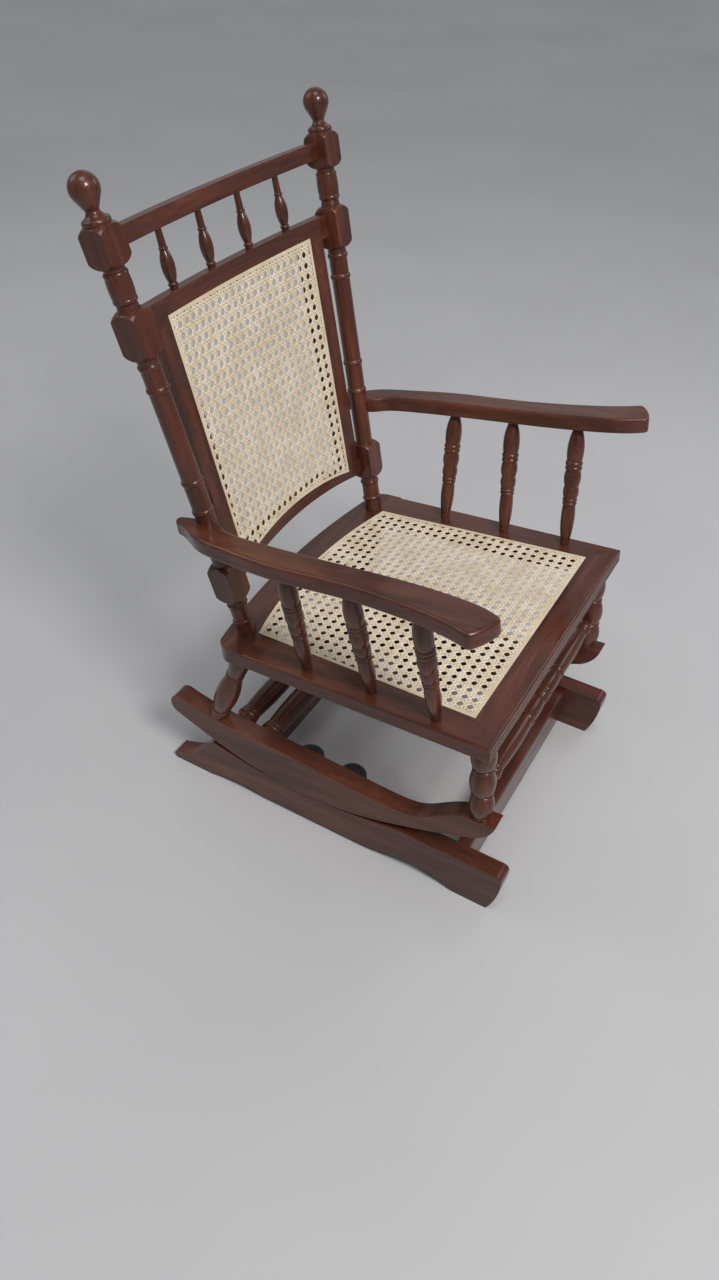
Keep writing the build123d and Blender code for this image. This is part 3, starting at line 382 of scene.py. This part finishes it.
class Weave:
    """Collects the strands of one panel."""

    def __init__(self, place, outline):
        self.place, self.outline = place, outline
        self.points, self.faces = [], []

    def strand(self, start, way, wide, stations, lift):
        """One flat strand along a line, cut to the outline, waving by lift at its stations."""
        side = (-way[1], way[0])
        for low, high in runs_inside(self.outline, start, way):
            if high - low < wide:
                continue
            inner = [s for s in stations if low + CANE_END_MARGIN < s < high - CANE_END_MARGIN]
            rings = [low, *inner, high]
            first = len(self.points)
            for s in rings:
                u, v = start[0] + way[0] * s, start[1] + way[1] * s
                z = lift(s)
                for across, up in CANE_SECTION:
                    self.points.append(self.place(
                        u + side[0] * across * wide, v + side[1] * across * wide, z + up * CANE_HALF_THICK
                    ))
            corners = len(CANE_SECTION)
            for ring in range(len(rings) - 1):
                for corner in range(corners):
                    a = first + ring * corners + corner
                    b = first + ring * corners + (corner + 1) % corners
                    self.faces.append((a, b, b + corners, a + corners))
            last = first + (len(rings) - 1) * corners
            self.faces.append(tuple(reversed(range(first, first + corners))))
            self.faces.append(tuple(range(last, last + corners)))

    def pairs(self, origin, way, across, phase):
        """Parallel pairs of strands, woven over and under the pairs that cross them."""
        half = CANE_PAIR / 2
        stations = []
        for k in range(-PAIRS_EACH_SIDE, PAIRS_EACH_SIDE + 1):
            stations += [k * CANE_PITCH - half, k * CANE_PITCH + half, (k + 0.5) * CANE_PITCH]
        for k in range(-PAIRS_EACH_SIDE, PAIRS_EACH_SIDE + 1):
            for sign in (-1, 1):
                shift = k * CANE_PITCH + sign * half
                start = (origin[0] + across[0] * shift, origin[1] + across[1] * shift)

                def lift(s, sign=sign):
                    near = (s + CANE_PITCH / 2) % CANE_PITCH - CANE_PITCH / 2
                    if abs(near) > half * CANE_CROSSING_REACH:
                        return 0.0
                    return phase * sign * math.copysign(CANE_WAVE, near)

                self.strand(start, way, CANE_WIDE, stations, lift)

    def diagonals(self, origin, lean):
        """Single strands at 45 degrees that cross the pairs midway, over one set and under the other."""
        way = (math.sqrt(0.5), lean * math.sqrt(0.5))
        step = CANE_PITCH / 4 * math.sqrt(2)
        stations = [k * step for k in range(-8 * PAIRS_EACH_SIDE, 8 * PAIRS_EACH_SIDE + 1)]
        for k in range(-2 * PAIRS_EACH_SIDE, 2 * PAIRS_EACH_SIDE + 1):
            start = (origin[0], origin[1] + (k + 0.5) * CANE_PITCH)

            def lift(s):
                return lean * CANE_DIAGONAL_WAVE * math.cos(2 * math.pi * s * math.sqrt(0.5) / CANE_PITCH)

            self.strand(start, way, CANE_DIAGONAL_WIDE, stations, lift)


def woven_panel(name, place, outline, origin):
    """Caned panel: pairs both ways and both diagonals."""
    weave = Weave(place, outline(CANE_EDGE))
    weave.pairs(origin, way=(0, 1), across=(1, 0), phase=1)
    weave.pairs(origin, way=(1, 0), across=(0, 1), phase=-1)
    weave.diagonals(origin, lean=1)
    weave.diagonals(origin, lean=-1)
    panel = new_piece(name, weave.points, weave.faces, CANE)
    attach(panel, "chair")
    return panel


seat_weave = woven_panel("seat_cane_weave", seat_place, seat_outline, SEAT_WEAVE_MIDDLE)
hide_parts("seat_cane")
back_weave = woven_panel("back_cane_weave", back_place, back_outline, BACK_WEAVE_MIDDLE)
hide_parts("back_cane")


# Springs: helical wire with upright ends
def tube(points, radius, sides):
    """Points and faces of a round wire along a path."""
    made, faces = [], []
    normal = Vector((1, 0, 0))
    for i, p in enumerate(points):
        ahead = points[min(i + 1, len(points) - 1)] - points[max(i - 1, 0)]
        ahead.normalize()
        normal = (normal - ahead * normal.dot(ahead)).normalized()
        other = ahead.cross(normal)
        for k in range(sides):
            angle = 2 * math.pi * k / sides
            made.append(p + (normal * math.cos(angle) + other * math.sin(angle)) * radius)
    for i in range(len(points) - 1):
        for k in range(sides):
            a, b = i * sides + k, i * sides + (k + 1) % sides
            faces.append((a, b, b + sides, a + sides))
    faces.append(tuple(reversed(range(sides))))
    faces.append(tuple(range((len(points) - 1) * sides, len(points) * sides)))
    return made, faces


def coil_path(x, y):
    """Centre line of one spring, its ends eased from the winding to upright."""
    tail = 2 * WIRE_RADIUS
    low, high = COIL_LOW + tail + COIL_LEAD, COIL_HIGH - tail - COIL_LEAD
    steps = STEPS_PER_TURN * COIL_TURNS
    ease = [k / EASE_STEPS for k in range(1, EASE_STEPS)]
    turns = []
    for share in ease:
        angle = -math.pi / 2 + share**EASE_TURN * math.pi / 2
        turns.append((angle, COIL_LOW + tail + COIL_LEAD * (1 - (1 - share) ** EASE_RISE)))
    for k in range(steps + 1):
        turns.append((2 * math.pi * COIL_TURNS * k / steps, low + (high - low) * k / steps))
    for share in ease:
        turns.append(((1 - (1 - share) ** EASE_TURN) * math.pi / 2, high + COIL_LEAD * share**EASE_RISE))
    wound = [
        Vector((x + COIL_RADIUS * math.cos(angle), y + COIL_RADIUS * math.sin(angle), rise))
        for angle, rise in turns
    ]
    foot = [Vector((x, y - COIL_RADIUS, z)) for z in (COIL_LOW, COIL_LOW + tail)]
    head = [Vector((x, y + COIL_RADIUS, z)) for z in (COIL_HIGH - tail, COIL_HIGH)]
    return foot + wound + head


for side, sign in (("left", 1), ("right", -1)):
    spring_points, spring_faces = [], []
    for y in SPRING_PLACES:
        made, faces = tube(coil_path(sign * SPRING_X, y), WIRE_RADIUS, WIRE_SIDES)
        shift = len(spring_points)
        spring_points += made
        spring_faces += [tuple(i + shift for i in face) for face in faces]
    springs = new_piece(f"springs_{side}", spring_points, spring_faces, SPRING_STEEL)
    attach(springs, "base")
    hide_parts(f"spring_coils_{side}")


# Plain pale floor
def floor_material():
    """Pale matt floor with the faintest cloudiness."""
    mat, tree, shader = material("floor_pale")
    source = node(tree, "ShaderNodeTexCoord")
    cloud = noise(tree, source.outputs["Object"], scale=1.2, detail=3.0)
    colour = ramp(tree, cloud, FLOOR_CLOUDS)
    tree.links.new(colour, shader.inputs["Base Color"])
    shader.inputs["Roughness"].default_value = 0.45
    return mat


floor_corners = [(x * FLOOR_HALF, y * FLOOR_HALF, 0) for x, y in ((-1, -1), (1, -1), (1, 1), (-1, 1))]
floor_mesh = bpy.data.meshes.new("floor")
floor_mesh.from_pydata(floor_corners, [], [(0, 1, 2, 3)])
floor = bpy.data.objects.new("floor", floor_mesh)
floor.data.materials.append(floor_material())
bpy.context.scene.collection.objects.link(floor)


def area_light(name, place, target, size, power, colour=(1, 1, 1)):
    """Soft square lamp aimed at a point."""
    lamp = bpy.data.lights.new(name, "AREA")
    lamp.energy, lamp.size, lamp.color = power, size, colour
    holder = bpy.data.objects.new(name, lamp)
    holder.location = place
    holder.rotation_euler = (Vector(target) - Vector(place)).to_track_quat("-Z", "Y").to_euler()
    bpy.context.scene.collection.objects.link(holder)


area_light(
    "key", place=(-1.30, -2.40, 3.30), target=(0.05, 0.05, 0.45), size=1.0, power=104,
    colour=(1.0, 0.98, 0.95),
)
area_light("far", place=(2.0, 1.2, 2.1), target=(0, 0, 0.4), size=1.7, power=3)
area_light("side", place=(1.7, -0.9, 1.9), target=(0, 0, 0.4), size=1.0, power=6)
area_light("rear", place=(-0.7, 2.2, 2.4), target=(0, 0, 0.5), size=1.4, power=9)

# Broad soft light from above
sun = bpy.data.lights.new("window", "SUN")
sun.energy = 0.85
sun.angle = 0.5
sun_holder = bpy.data.objects.new("window", sun)
sun_holder.rotation_euler = Vector((0.2, 0.1, -1)).to_track_quat("-Z", "Y").to_euler()
bpy.context.scene.collection.objects.link(sun_holder)

world = bpy.data.worlds.new("studio")
world.use_nodes = True
background = world.node_tree.nodes["Background"]
background.inputs["Color"].default_value = WORLD_COLOUR
background.inputs["Strength"].default_value = WORLD_STRENGTH
bpy.context.scene.world = world

camera = bpy.data.objects.new("camera", bpy.data.cameras.new("camera"))
camera.data.lens = CAMERA_LENS
camera.data.sensor_width = CAMERA_SENSOR
camera_back = CAMERA_RIGHT.cross(CAMERA_UP)
camera.matrix_world = Matrix.Translation(CAMERA_AT) @ Matrix(
    (CAMERA_RIGHT, CAMERA_UP, camera_back)
).transposed().to_4x4()
bpy.context.scene.collection.objects.link(camera)
bpy.context.scene.camera = camera
bpy.context.scene.view_settings.view_transform = "Standard"
